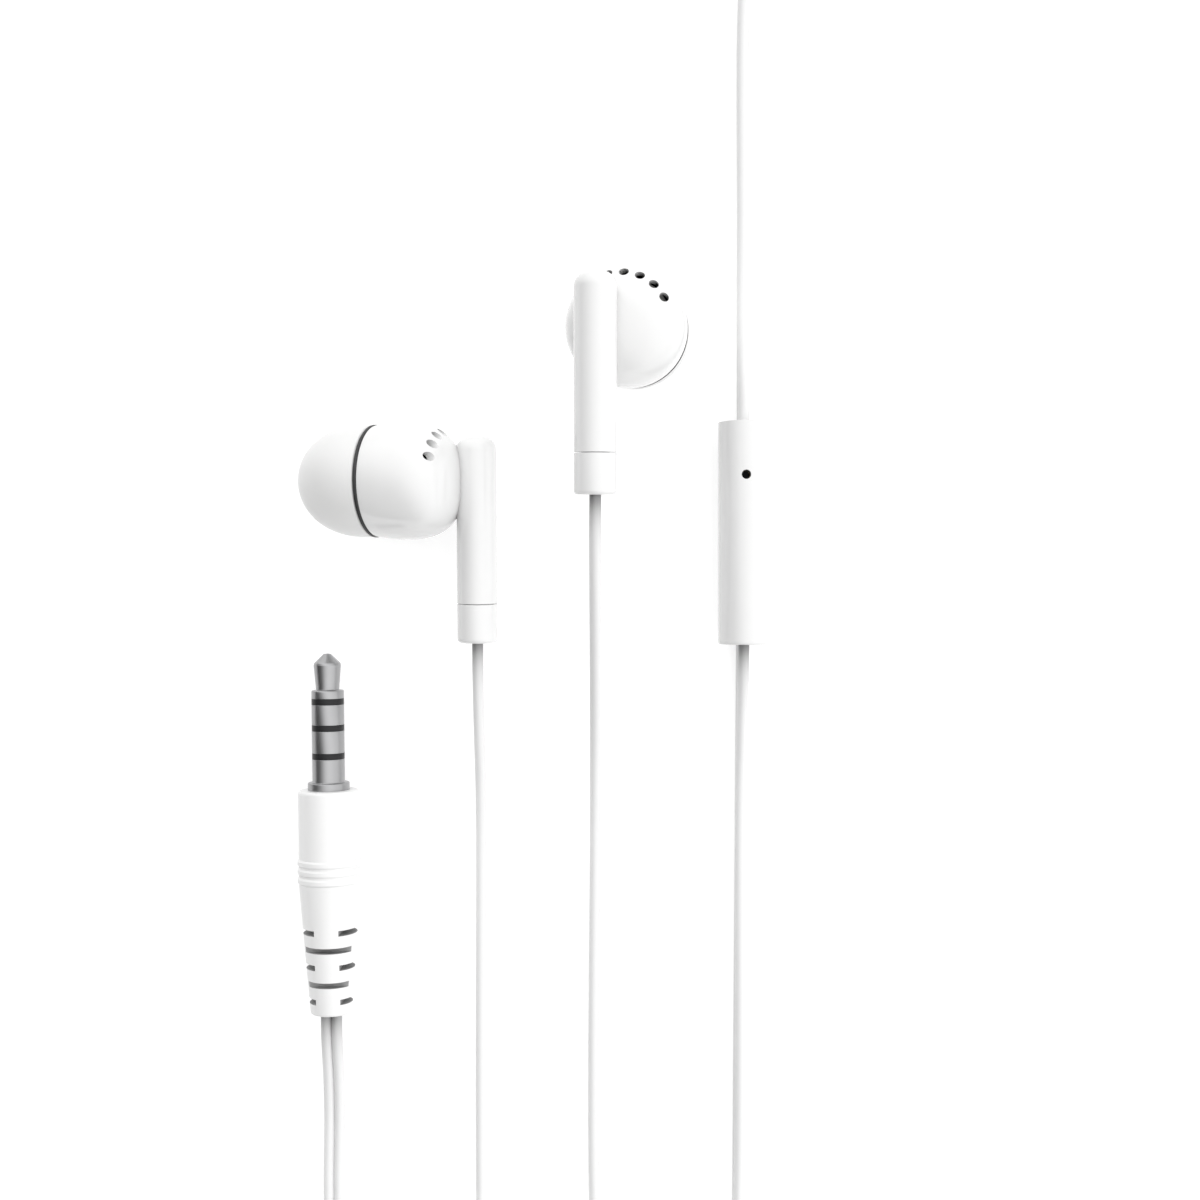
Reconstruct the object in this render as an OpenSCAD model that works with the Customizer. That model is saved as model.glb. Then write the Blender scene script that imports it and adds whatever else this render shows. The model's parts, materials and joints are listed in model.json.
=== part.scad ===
// Wired earphones: two stemmed earphones with silicone ear tips, an in-line microphone pod and
// a four-contact 3.5 mm plug, lying on a table. All sizes are in millimetres, +Z is up.

/* [Earphone housing] */
// Largest radius of the housing
housing_r = 6.2; // [6.1:0.05:6.4]
// Distance from the stem's axis to the widest ring of the housing
housing_mid = 7.4; // [7.2:0.1:7.6]
// Distance from the stem's axis to the housing's back
housing_back = 1.2; // [1.1:0.1:1.4]
// Wall thickness of the housing
housing_wall = 0.7; // [0.6:0.05:0.7]
// Squareness of the housing's rear dome
dome_power = 2.75; // [2.4:0.05:3]
// Radius of each vent hole
vent_r = 0.5; // [0.3:0.05:0.6]
// Number of vent holes in each housing
vent_count = 5; // [3:1:6]

/* [Ear tip] */
// Largest radius of the ear tip
tip_r = 5.95; // [5.8:0.05:6.1]
// Distance from the stem's axis to the front of the ear tip
tip_front = 19.1; // [18.9:0.1:20]
// Radius of the ear tip's sound hole
tip_bore_r = 1.9; // [1.6:0.1:2]

/* [Stem] */
// Radius of the stem
stem_r = 2.15; // [2.05:0.05:2.3]
// Height of the stem's top above the nozzle's axis
stem_top = 4.8; // [4.6:0.1:5.2]
// Depth of the stem's end below the nozzle's axis
stem_end = 17.2; // [16:0.1:19]
// Sideways distance of the stem from the nozzle's axis
stem_offset = 2; // [1.5:0.1:2.1]
// Length of the stem's end cap
cap_len = 4.2; // [3.8:0.1:4.6]

/* [Microphone pod] */
// Radius of the pod
pod_r = 2.8; // [2.75:0.05:2.9]
// Length of the pod
pod_len = 24; // [23:0.5:26]
// Wall thickness of the pod
pod_wall = 0.6; // [0.5:0.05:0.65]
// Radius of the microphone hole
mic_hole_r = 0.5; // [0.3:0.05:0.6]

/* [Plug] */
// Radius of the plug's contacts
jack_r = 1.75; // [1.74:0.005:1.75]
// Length of the plug from its shoulder to its tip
jack_len = 14; // [13.9:0.05:14.1]
// Radius of the plug's moulding
grip_r = 3.3; // [3.2:0.05:3.4]
// Length from the plug's shoulder to the end of its strain relief
grip_len = 25; // [24:0.5:27]

/* [Cord] */
// Diameter of a single cord
cord_d = 1.2; // [1.1:0.05:1.2]

/* [Pose on the table] */
// Downward tilt of the left nozzle
left_tilt = 14.3; // [12:0.1:17]
// Lean of the right nozzle away from upright
right_lean = 10; // [8:0.5:12]
// Dip of each stem's end towards the table
dip = 4; // [3:0.1:5]

/* [Hidden] */
$fn = 64;

// Axial stations of an earphone, measured from the stem's axis along the nozzle.
shell_front = 10.4;
seal_front = 10.75;
nozzle_front = 16;
tip_back = 10.85;
tip_shoulder = 12;
yoke_back = 5;
plate_back = 7.7;
gap_front = 8.4;
film_z = 9.2;
frame_front = 9.75;
cover_z = 10.05;

// Radii inside an earphone.
shell_lip_drop = 0.28;
nozzle_r = 2.6;
barb_r = 2.8;
nozzle_bore_r = 1.9;
sleeve_r = 2.86;
magnet_r = 2.1;
gap_r = 2.8;
yoke_r = 3.6;
frame_r = 5.2;
rim_r = 4.75;
film_r = 4.5;
seal_r = 4.9;
seal_outer_r = 6;
stem_bore_r = 1.4;
wire_hole_r = 0.9;
cord_r = cord_d / 2;
cord_hole_r = cord_r + 0.02;

// Vents: first angle, step, radius of their circle, and their slope on the dome.
vent_first = 29;
vent_step = 18.9;
vent_circle = 5.1;
vent_depth = housing_mid - (housing_mid - housing_back)
    * pow(1 - pow(vent_circle / housing_r, dome_power), 1 / dome_power);
vent_slope = 12;

// Where each piece lies on the table.
left_x = -6.4;
left_y = -2.1;
left_turn = -1;
right_x = 8.7;
right_y = 13;
pod_x = 22.8;
pod_y = -7.4;
pod_z = pod_r + cord_d + 0.05;
plug_x = -22.3;
plug_y = -34.4;
plug_turn = 0.7;
rib_r = grip_r + 0.15;
plug_z = rib_r;

// Coils: centre, middle radius and half width of each, and their height.
coil_x = -12.2;
coil_y = -105.9;
twin_coil_r = 14;
twin_coil_half = 3.6;
left_coil_r = 7;
left_coil_half = 1.8;
coil_h = 3.6;

// A rounded curve from the back pole (on the axis) to the widest ring.
function dome_curve(r, back, mid, power, steps) = [
    for (i = [0 : steps]) let (a = 90 * i / steps)
        [r * pow(sin(a), 2 / power), mid - (mid - back) * pow(cos(a), 2 / power)]
];

// The gently closing stretch from the widest ring to the shell's mouth.
function lip_curve(r, steps) = [
    for (i = [1 : steps]) let (s = i / steps)
        [r - shell_lip_drop * s * s, housing_mid + s * (shell_front - housing_mid)]
];

outer_outline = concat(
    dome_curve(housing_r, housing_back, housing_mid, dome_power, 18),
    lip_curve(housing_r, 4), [[0, shell_front]]
);
inner_outline = concat(
    dome_curve(housing_r - housing_wall, housing_back + housing_wall, housing_mid,
        dome_power, 18),
    lip_curve(housing_r - housing_wall, 4), [[0, shell_front]]
);

// The ear tip's outside, from the skirt's edge to the rounded rim of the sound hole.
tip_power = 2.1;
tip_outside = concat(
    [[tip_r - 0.12, tip_back], [tip_r, tip_back + 0.3]],
    [for (i = [0 : 13]) let (a = 5.7 * i)
        [tip_r * pow(cos(a), 2 / tip_power),
         tip_shoulder + (tip_front - tip_shoulder) * pow(sin(a), 2 / tip_power)]]
);
tip_inside = [
    for (i = [12 : -1 : 0]) let (a = 4 * i)
        [(tip_r - 0.55) * pow(cos(a), 2 / tip_power),
         tip_shoulder + (tip_front - 1.3 - tip_shoulder) * pow(sin(a), 2 / tip_power)]
];

// How high the stem's axis stands when the ear tip and housing rest on the table, with the
// nozzle at this angle from straight down.
function rest_height(angle) = max([
    for (p = concat(tip_outside, outer_outline)) p.y * cos(angle) + p.x * sin(angle)
]);
left_z = rest_height(90 - left_tilt);
right_z = rest_height(acos(cos(right_lean) * cos(dip)));

function turn_x(v, a) = [v.x, v.y * cos(a) - v.z * sin(a), v.y * sin(a) + v.z * cos(a)];
function turn_y(v, a) = [v.x * cos(a) + v.z * sin(a), v.y, v.z * cos(a) - v.x * sin(a)];
function turn_z(v, a) = [v.x * cos(a) - v.y * sin(a), v.x * sin(a) + v.y * cos(a), v.z];

// Where a point of an earphone lies on the table, on the left one and on the right one.
function to_left(v) = [left_x, left_y, left_z]
    + turn_z(turn_y(turn_z(v, -dip), -(90 + left_tilt)), left_turn);
function to_right(v) = [right_x, right_y, right_z]
    + turn_x(turn_y(v, 180 - right_lean), dip);

// Routes of the free cords: round numbers, chosen by hand.
left_exit = to_left([-stem_offset, -stem_end, 0]);
right_exit = to_right([stem_offset, -stem_end, 0]);
left_route = [
    [-5.9, -22.4, 5.6], [-5.9, -26.4, 4.6], [-5.9, -30.9, 3.1], [-5.9, -34.9, 1.7],
    [-5.9, -38.9, 0.9], [-5.9, -42.9, 0.6], [-5.9, -79.9, 0.6], [-5.8, -82.9, 1.2],
    [-5.6, -85.9, 2.8], [-5.4, -88.9, 4.2], [-5.1, -92.4, 4.5], [-4.7, -96.4, 4.5],
    [-4.3, -99.9, 4.2], [-4.1, -102.9, 3.4], [-4, -105.9, 3]
];
left_tail = [
    [-5.2, -105.9, 3], [-5.2, -108.4, 3.8], [-4.7, -110.9, 4.4], [-2.7, -113.4, 4.4],
    [0.8, -115.2, 4.4], [4.3, -115.9, 4.2], [6.8, -116, 3.2], [9.3, -115.9, 1.8],
    [11.8, -115.6, 0.9], [14.3, -115.4, 0.6], [16.7, -116.2, 0.6], [17.7, -118.3, 0.6],
    [16.9, -120.4, 0.7], [15.2, -121.3, 1], [13.3, -121.35, 1.2]
];
right_route = [
    [6.7, -7.9, 16.8], [6.7, -11.9, 15.3], [6.7, -15.9, 12.9], [6.7, -19.9, 9.9],
    [6.7, -23.9, 6.9], [6.7, -27.9, 4.2], [6.7, -31.9, 2.2], [6.7, -35.9, 1.1],
    [6.7, -39.9, 0.6], [6.7, -82.9, 0.6], [7.2, -86.1, 0.6], [8.8, -88.9, 0.6],
    [11.4, -90.7, 0.6], [14.5, -91.3, 0.7], [17.6, -90.7, 1], [20.2, -88.9, 1.4],
    [21.8, -86.1, 1.7], [22.3, -82.9, 1.8], [22.6, -39.9, 1.8], [22.65, -33.9, 2],
    [22.7, -27.9, 3], [22.75, -23.4, 3.9], [22.8, -19.4, 4.05]
];
mic_route = [
    [22.8, 4.6, 4.05], [22.8, 8.6, 3.9], [22.8, 13.1, 3], [22.8, 19.1, 2],
    [22.85, 25.1, 1.8], [23.1, 53.1, 1.8], [23.8, 56.6, 1.8], [25.5, 59.7, 1.6],
    [26.3, 62.9, 1.2], [25, 65.9, 0.8], [22.2, 67, 0.6], [19.5, 65.6, 0.6],
    [18.7, 62.6, 0.6], [20, 59.7, 0.6], [22.2, 56.9, 0.6], [23.1, 53.1, 0.6],
    [22.95, 25.1, 0.6], [22.9, -7.4, 0.6], [22.7, -39.9, 0.6], [22.4, -82.9, 0.6],
    [22.3, -101.9, 0.6], [22.1, -107.9, 0.6], [21.6, -113.9, 0.6], [20.7, -118.4, 0.6],
    [19.3, -121.2, 0.6], [17, -122.6, 0.8], [13.3, -122.65, 1.2]
];
twin_route = [
    [-22, -59.4, 3.45], [-22, -61.9, 3.3], [-22, -66.9, 2], [-22.1, -71.9, 0.9],
    [-22.2, -76.9, 0.6], [-22.4, -85.9, 0.6], [-23.6, -90.9, 0.6], [-25.8, -95.9, 0.6],
    [-27.8, -100.9, 0.6], [-28.6, -105.9, 0.6]
];
twin_tail = [
    [-12.2, -122.3, 3], [-8.2, -122.6, 3], [-4.2, -122.7, 2.6], [-1.2, -122.5, 1.8],
    [1, -122.1, 1.3], [2.3, -122, 1.2]
];
splitter_back = 1.8;
splitter_front = 13.8;
splitter_y = -122;

function unit(v) = v / norm(v);

// Direction of the route at a point, from its neighbours.
function heading(p, i) = unit(p[min(i + 1, len(p) - 1)] - p[max(i - 1, 0)]);

// An eight-sided ring of half width w and half height h round each point of a route.
function rings(p, w, h) = [
    for (i = [0 : len(p) - 1])
        let (t = heading(p, i), side = unit(cross([0, 0, 1], t)), up = cross(t, side))
        for (k = [0 : 7]) let (a = 45 * k + 22.5)
            p[i] + w * cos(a) * side + h * sin(a) * up
];

// A closed tube along a route.
module tube(p, w, h) {
    last = 8 * (len(p) - 1);
    polyhedron(
        points = rings(p, w, h),
        faces = concat(
            [[for (k = [0 : 7]) k]],
            [[for (k = [7 : -1 : 0]) last + k]],
            [for (i = [0 : len(p) - 2]) for (k = [0 : 7]) let (n = (k + 1) % 8)
                [8 * i + n, 8 * i + k, 8 * i + 8 + k, 8 * i + 8 + n]]
        )
    );
}

// A ring of rectangular section about Z.
module band(r_in, r_out, z_low, z_high) {
    translate([0, 0, z_low]) difference() {
        cylinder(r = r_out, h = z_high - z_low);
        translate([0, 0, -1]) cylinder(r = r_in, h = z_high - z_low + 2);
    }
}

// Places of the pieces on the table.
module at_left() {
    translate([left_x, left_y, left_z]) rotate([0, 0, left_turn])
        rotate([0, -(90 + left_tilt), 0]) rotate([0, 0, -dip]) children();
}
module at_right() {
    translate([right_x, right_y, right_z]) rotate([dip, 0, 0])
        rotate([0, 180 - right_lean, 0]) children();
}
module at_pod() {
    translate([pod_x, pod_y, pod_z]) children();
}
// The plug's own axis is Z, with its shoulder at zero and its tip upwards.
module at_plug() {
    translate([plug_x, plug_y, plug_z]) rotate([0, 0, plug_turn]) rotate([-90, 0, 0])
        children();
}
module along_stem() {
    rotate([-90, 0, 0]) children();
}
// The stem stands beside the nozzle's axis: side 0 is the left earphone, side 1 the right.
module beside(side) {
    translate([side == 0 ? -stem_offset : stem_offset, 0, 0]) children();
}

// Earphone pieces, about the nozzle's axis (Z), with the stem along Y.
module ear_tip() {
    color("whitesmoke") rotate_extrude() polygon(concat(
        tip_outside,
        [[tip_bore_r, tip_front - 0.4], [tip_bore_r, nozzle_front + 0.3],
         [sleeve_r, nozzle_front + 0.3], [sleeve_r, tip_shoulder],
         [sleeve_r + 0.65, tip_shoulder]],
        tip_inside, [[tip_r - 0.5, tip_back]]
    ));
}
module nozzle_mesh() {
    color("silver") translate([0, 0, nozzle_front - 0.6]) difference() {
        cylinder(r = nozzle_bore_r, h = 0.15);
        translate([0, 0, -1]) cylinder(r = 0.17, h = 3);
        for (ring = [1 : 3]) for (i = [1 : 6 * ring])
            rotate([0, 0, 60 * i / ring]) translate([0.5 * ring, 0, -1])
                cylinder(r = 0.17, h = 3);
    }
}
module front_cover() {
    color("white") rotate_extrude() polygon([
        [frame_r, frame_front], [frame_r, shell_front], [seal_r, shell_front],
        [seal_r, seal_front], [4.4, seal_front + 0.35], [2.9, seal_front + 0.65],
        [nozzle_r, seal_front + 0.85], [nozzle_r, nozzle_front - 1.1],
        [barb_r, nozzle_front - 1], [barb_r, nozzle_front - 0.5], [2.45, nozzle_front],
        [nozzle_bore_r, nozzle_front], [nozzle_bore_r, seal_front + 0.65],
        [4.1, shell_front + 0.3], [rim_r, shell_front], [rim_r, frame_front]
    ]);
}
module seal_ring() {
    color("black") band(seal_r, seal_outer_r, shell_front, seal_front);
}
module driver_cover() {
    color("silver") difference() {
        translate([0, 0, cover_z]) cylinder(r = rim_r - 0.1, h = 0.2);
        for (i = [1 : 6]) rotate([0, 0, 60 * i]) translate([2.9, 0, 0])
            cylinder(r = 0.6, h = 20);
        cylinder(r = 0.6, h = 20);
    }
}
module diaphragm() {
    color("lightsteelblue") rotate_extrude() polygon([
        [0, film_z + 0.55], [1.4, film_z + 0.42], [2.5, film_z + 0.1],
        [3.1, film_z + 0.35], [3.8, film_z + 0.35], [film_r, film_z + 0.1],
        [film_r, film_z], [3.8, film_z + 0.25], [3.1, film_z + 0.25], [2.65, film_z],
        [2.4, film_z], [1.4, film_z + 0.32], [0, film_z + 0.45]
    ]);
}
module voice_coil() {
    color("darkorange") band(2.32, 2.62, plate_back - 0.3, film_z);
}
module driver_frame() {
    color("dimgray") union() {
        band(yoke_r, frame_r, gap_front - 0.4, gap_front);
        band(rim_r, frame_r, gap_front, frame_front);
    }
}
module top_plate() {
    color("gray") translate([0, 0, plate_back])
        cylinder(r = magnet_r + 0.05, h = gap_front - plate_back);
}
module magnet() {
    color("silver") translate([0, 0, yoke_back + 0.7])
        cylinder(r = magnet_r, h = plate_back - yoke_back - 0.7);
}
module yoke() {
    color("gray") difference() {
        translate([0, 0, yoke_back]) cylinder(r = yoke_r, h = gap_front - yoke_back);
        translate([0, 0, yoke_back + 0.7]) cylinder(r = gap_r, h = 10);
    }
}
module terminal_board() {
    color("seagreen") union() {
        translate([0, 0, yoke_back - 0.4]) cylinder(r = 2.4, h = 0.4);
        for (s = [-1, 1]) translate([1.5 * s, -0.6, yoke_back - 0.65])
            cylinder(r = 0.45, h = 0.3);
    }
}
module rear_damper() {
    color("darkslategray") band(yoke_r + 0.1, 4.95, yoke_back + 0.1, yoke_back + 0.5);
}
module rear_shell(side) {
    color("white") difference() {
        rotate_extrude() polygon(outer_outline);
        rotate_extrude() polygon(inner_outline);
        translate([0, 0, shell_front - 0.01]) cylinder(r = 8, h = 1);
        beside(side) cylinder(r = wire_hole_r, h = housing_back + 2);
        mirror([side, 0, 0]) for (i = [0 : vent_count - 1])
            rotate([0, 0, vent_first + vent_step * i])
                translate([vent_circle, 0, vent_depth]) rotate([0, 180 - vent_slope, 0])
                    translate([0, 0, -2.5]) cylinder(r = vent_r, h = 5);
    }
}
module stem(side) {
    round_r = 1.55;
    color("white") difference() {
        beside(side) along_stem() rotate_extrude() polygon(concat(
            [[0, cap_len - stem_end], [stem_r - 0.1, cap_len - stem_end],
             [stem_r, cap_len - stem_end + 0.1]],
            [for (a = [0 : 9 : 90])
                [stem_r - round_r + round_r * cos(a), stem_top - round_r + round_r * sin(a)]],
            [[0, stem_top]]
        ));
        beside(side) along_stem() translate([0, 0, -stem_end])
            cylinder(r = stem_bore_r, h = stem_end + stem_top - 1.4);
        rotate_extrude() polygon(outer_outline);
        beside(side) cylinder(r = wire_hole_r, h = 4);
    }
}
module end_cap(side) {
    round_r = 0.45;
    seam = cap_len - stem_end;
    color("white") beside(side) along_stem() difference() {
        rotate_extrude() polygon(concat(
            [[0, -stem_end]],
            [for (a = [-90 : 15 : 0])
                [stem_r - round_r + round_r * cos(a), round_r - stem_end + round_r * sin(a)]],
            [[stem_r, seam - 0.1], [stem_r - 0.1, seam], [stem_bore_r - 0.02, seam],
             [stem_bore_r - 0.02, seam + 1.3], [0, seam + 1.3]]
        ));
        translate([0, 0, -stem_end - 1]) cylinder(r = cord_hole_r, h = cap_len + 4);
    }
}
module lead_knot(side) {
    knot_y = cap_len - stem_end + 2.4;
    color("gainsboro") beside(side) union() {
        along_stem() translate([0, 0, -stem_end]) cylinder(r = cord_r, h = stem_end + knot_y);
        along_stem() translate([0, 0, knot_y]) sphere(r = 1.05);
        for (s = [-0.35, 0.35]) {
            along_stem() translate([s, 0, knot_y]) cylinder(r = 0.22, h = 0.3 - knot_y);
            translate([s, 0.1, 0]) cylinder(r = 0.22, h = yoke_back - 0.4);
        }
    }
}

// Pod pieces: the pod's axis is Y, the microphone faces up and the button faces down.
module pod_half() {
    flip = [90, 0, 0];
    inner_r = pod_r - pod_wall;
    difference() {
        rotate(flip) rotate_extrude() polygon([
            [0, -pod_len / 2], [pod_r - 0.05, -pod_len / 2], [pod_r, 0.05 - pod_len / 2],
            [pod_r, pod_len / 2 - 0.25], [pod_r - 0.25, pod_len / 2], [0, pod_len / 2]
        ]);
        rotate(flip) translate([0, 0, 0.8 - pod_len / 2])
            cylinder(r = inner_r, h = pod_len - 1.6);
        rotate(flip) translate([0, 0, -pod_len]) cylinder(r = cord_hole_r, h = 2 * pod_len);
        translate([-10, -pod_len, -20]) cube([20, 2 * pod_len, 20]);
    }
}
mic_y = 6.2;
button_y = -4;
module pod_front_shell() {
    color("white") at_pod() difference() {
        pod_half();
        translate([0, mic_y, 0]) cylinder(r = mic_hole_r, h = 10);
    }
}
module oblong(half_w, len, h) {
    for (s = [-1, 1]) translate([0, s * (len / 2 - half_w), 0])
        cylinder(r = half_w, h = h);
    translate([-half_w, half_w - len / 2, 0]) cube([2 * half_w, len - 2 * half_w, h]);
}
module pod_rear_shell() {
    color("white") at_pod() difference() {
        mirror([0, 0, 1]) pod_half();
        translate([0, button_y, -pod_r - 1]) oblong(1.1, 7, pod_r);
    }
}
module mic_capsule() {
    color("goldenrod") at_pod() difference() {
        translate([-1.2, mic_y - 1.6, 0.3]) cube([2.4, 3.2, 0.9]);
        translate([0, mic_y, 0.8]) cylinder(r = 0.3, h = 2);
    }
}
module mic_seal() {
    color("black") at_pod() translate([0, mic_y, 0]) band(0.5, 1, 1.2, 1.85);
}
module pod_circuit_board() {
    color("seagreen") at_pod() translate([-1.8, -10, -0.3]) cube([3.6, 20, 0.6]);
}
module pod_switch() {
    color("dimgray") at_pod() union() {
        translate([-1.2, button_y - 1.3, -1.3]) cube([2.4, 2.6, 1]);
        translate([0, button_y, -1.5]) cylinder(r = 0.5, h = 0.5);
    }
}
module call_button() {
    color("white") at_pod() translate([0, button_y, 0]) union() {
        intersection() {
            translate([0, 0, -pod_r]) oblong(1, 6.8, pod_r - 1.8);
            rotate([90, 0, 0]) cylinder(r = pod_r - 0.03, h = 20, center = true);
        }
        translate([-0.85, -3.9, -1.98]) cube([1.7, 7.8, 0.18]);
    }
}

// Plug pieces, about the plug's axis.
sleeve_len = 2.55;
band_len = 0.65;
ring_2_len = 2.4;
ring_1_len = 2.2;
collar_len = 0.9;
ring_2_z = sleeve_len + band_len;
ring_1_z = ring_2_z + ring_2_len + band_len;
collar_z = ring_1_z + ring_1_len + band_len;
neck_z = collar_z + collar_len;
module plug_tip() {
    color("silver") at_plug() rotate_extrude() polygon([
        [0, -5.2], [0.4, -5.2], [0.4, collar_z], [jack_r, collar_z],
        [jack_r, neck_z - 0.1], [1.65, neck_z], [1.25, neck_z], [1.46, jack_len - 1.3],
        [1.42, jack_len - 1.1], [0.5, jack_len - 0.15], [0.25, jack_len], [0, jack_len]
    ]);
}
module contact_ring(r_in, r_mid, z, len, tail) {
    color("silver") at_plug() union() {
        band(r_in, jack_r, z, z + len);
        band(r_in, r_mid, tail, z + 0.1);
    }
}
module plug_ring_1() {
    contact_ring(0.6, 0.85, ring_1_z, ring_1_len, -4.4);
}
module plug_ring_2() {
    contact_ring(1.05, 1.22, ring_2_z, ring_2_len, -3.6);
}
module plug_sleeve() {
    color("silver") at_plug() union() {
        band(1.4, jack_r, 0, sleeve_len);
        band(1.4, 2.25, -1.2, 0);
        band(1.4, 1.6, -2.8, -1.2);
    }
}
module plug_insulators() {
    color("black") at_plug() {
        union() {
            band(0.4, jack_r, collar_z - band_len, collar_z);
            band(0.4, 0.6, -4.8, collar_z - band_len);
        }
        union() {
            band(0.85, jack_r, ring_1_z - band_len, ring_1_z);
            band(0.85, 1.05, -4, ring_1_z - band_len);
        }
        union() {
            band(1.22, jack_r, ring_2_z - band_len, ring_2_z);
            band(1.22, 1.4, -3.2, ring_2_z - band_len);
        }
    }
}
module plug_wires() {
    color("darkorange") at_plug() for (s = [-1, 1]) for (t = [0.9, 0.35])
        translate([s * t, 0, -grip_len + 0.5]) cylinder(r = 0.18, h = grip_len - 6);
}
rib_z = -8.6;
rib_pitch = 0.95;
taper_z = -11.2;
relief_r = 2.23;
slot_w = 0.75;
slot_pitch = 1.88;
slot_first = -15.95;
slot_core = 1.3;
module plug_moulding() {
    color("white") at_plug() difference() {
        rotate_extrude() polygon(concat(
            [[0, -grip_len], [relief_r - 0.2, -grip_len], [relief_r, 0.2 - grip_len],
             [grip_r, taper_z]],
            [for (i = [2 : -1 : 0]) for (p = [[0, -0.4], [0.15, -0.2], [0.15, 0.2], [0, 0.4]])
                [grip_r + p.x, rib_z - i * rib_pitch + p.y]],
            [for (a = [0 : 15 : 90]) [grip_r - 0.5 + 0.5 * cos(a), -1.3 + 0.5 * sin(a)]],
            [[0, -0.8]]
        ));
        translate([0, 0, -1.2]) cylinder(r = 2.25, h = 5);
        translate([0, 0, -5.6]) cylinder(r = 1.6, h = 6);
        translate([-1.2, -0.6, -grip_len - 1]) cube([2.4, 1.2, grip_len]);
        for (i = [0 : 4]) rotate([0, 0, i % 2 == 0 ? 90 : 0])
            for (s = [0, 180]) rotate([0, 0, s])
                translate([-2 * grip_r, slot_core, slot_first - i * slot_pitch - slot_w / 2])
                    cube([4 * grip_r, 10, slot_w]);
    }
}

// Cords, their coils, the splitter and the tie.
module left_cord() {
    color("white") union() {
        tube(concat([left_exit], left_route), cord_r, cord_r);
        tube(left_tail, cord_r, cord_r);
    }
}
module right_cord() {
    color("white") tube(concat([right_exit], right_route), cord_r, cord_r);
}
module mic_cord() {
    color("white") tube(mic_route, cord_r, cord_r);
}
module twin_cord() {
    color("white") union() {
        tube(twin_route, cord_d, cord_r);
        tube(twin_tail, cord_d, cord_r);
    }
}
module coil(r, half) {
    color("white") translate([coil_x, coil_y, 0])
        band(r - half, r + half, 0, coil_h);
}
module cord_splitter() {
    mid_z = 1.2;
    color("white") translate([splitter_back, splitter_y, mid_z]) rotate([0, 90, 0])
        difference() {
            linear_extrude(splitter_front - splitter_back) hull()
                for (s = [-0.9, 0.9]) translate([0, s]) circle(r = 1.15, $fn = 32);
            translate([-0.62, -1.22, -1]) cube([1.24, 2.44, 2]);
            for (s = [-0.65, 0.65])
                translate([0, s, splitter_front - splitter_back - 1])
                    cylinder(r = cord_hole_r, h = 2);
        }
}
module cord_tie() {
    from = left_coil_r - left_coil_half - 0.4;
    to = twin_coil_r + twin_coil_half + 0.4;
    color("lightgray") translate([coil_x, coil_y, 0]) rotate([0, 0, 225])
        difference() {
            translate([from, -1.25, 0]) cube([to - from, 2.5, coil_h + 0.4]);
            translate([from + 0.4, -2, 0.3]) cube([to - from - 0.8, 4, coil_h - 0.3]);
        }
}

at_left() ear_tip();  // left_ear_tip
at_left() nozzle_mesh();  // left_nozzle_mesh
at_left() front_cover();  // left_front_cover
at_left() seal_ring();  // left_seal_ring
at_left() driver_cover();  // left_driver_cover
at_left() diaphragm();  // left_diaphragm
at_left() voice_coil();  // left_voice_coil
at_left() driver_frame();  // left_driver_frame
at_left() top_plate();  // left_top_plate
at_left() magnet();  // left_magnet
at_left() yoke();  // left_yoke
at_left() terminal_board();  // left_terminal_board
at_left() rear_damper();  // left_rear_damper
at_left() rear_shell(0);  // left_rear_shell
at_left() stem(0);  // left_stem
at_left() end_cap(0);  // left_end_cap
at_left() lead_knot(0);  // left_lead_knot
at_right() ear_tip();  // right_ear_tip
at_right() nozzle_mesh();  // right_nozzle_mesh
at_right() front_cover();  // right_front_cover
at_right() seal_ring();  // right_seal_ring
at_right() driver_cover();  // right_driver_cover
at_right() diaphragm();  // right_diaphragm
at_right() voice_coil();  // right_voice_coil
at_right() driver_frame();  // right_driver_frame
at_right() top_plate();  // right_top_plate
at_right() magnet();  // right_magnet
at_right() yoke();  // right_yoke
at_right() terminal_board();  // right_terminal_board
at_right() rear_damper();  // right_rear_damper
at_right() rear_shell(1);  // right_rear_shell
at_right() stem(1);  // right_stem
at_right() end_cap(1);  // right_end_cap
at_right() lead_knot(1);  // right_lead_knot
pod_front_shell();
pod_rear_shell();
mic_capsule();
mic_seal();
pod_circuit_board();
pod_switch();
call_button();
plug_tip();
plug_ring_1();
plug_ring_2();
plug_sleeve();
plug_insulators();
plug_wires();
plug_moulding();
left_cord();
coil(left_coil_r, left_coil_half);  // left_coil
right_cord();
mic_cord();
twin_cord();
coil(twin_coil_r, twin_coil_half);  // twin_coil
cord_splitter();
cord_tie();
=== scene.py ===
# %% [markdown]
# # Wired earphones
# A pair of in-ear earphones, a small microphone pod and a jack plug lie on a white table. The
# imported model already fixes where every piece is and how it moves. What follows only adds looks:
# smooth skins over the plain solids, cords of their real length, and a finish for each piece.
# The model is loaded first, because the later cells take their places from it.

# %% Load the frame
import json
import math

import bmesh
import bpy
from mathutils import Matrix, Vector


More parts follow.
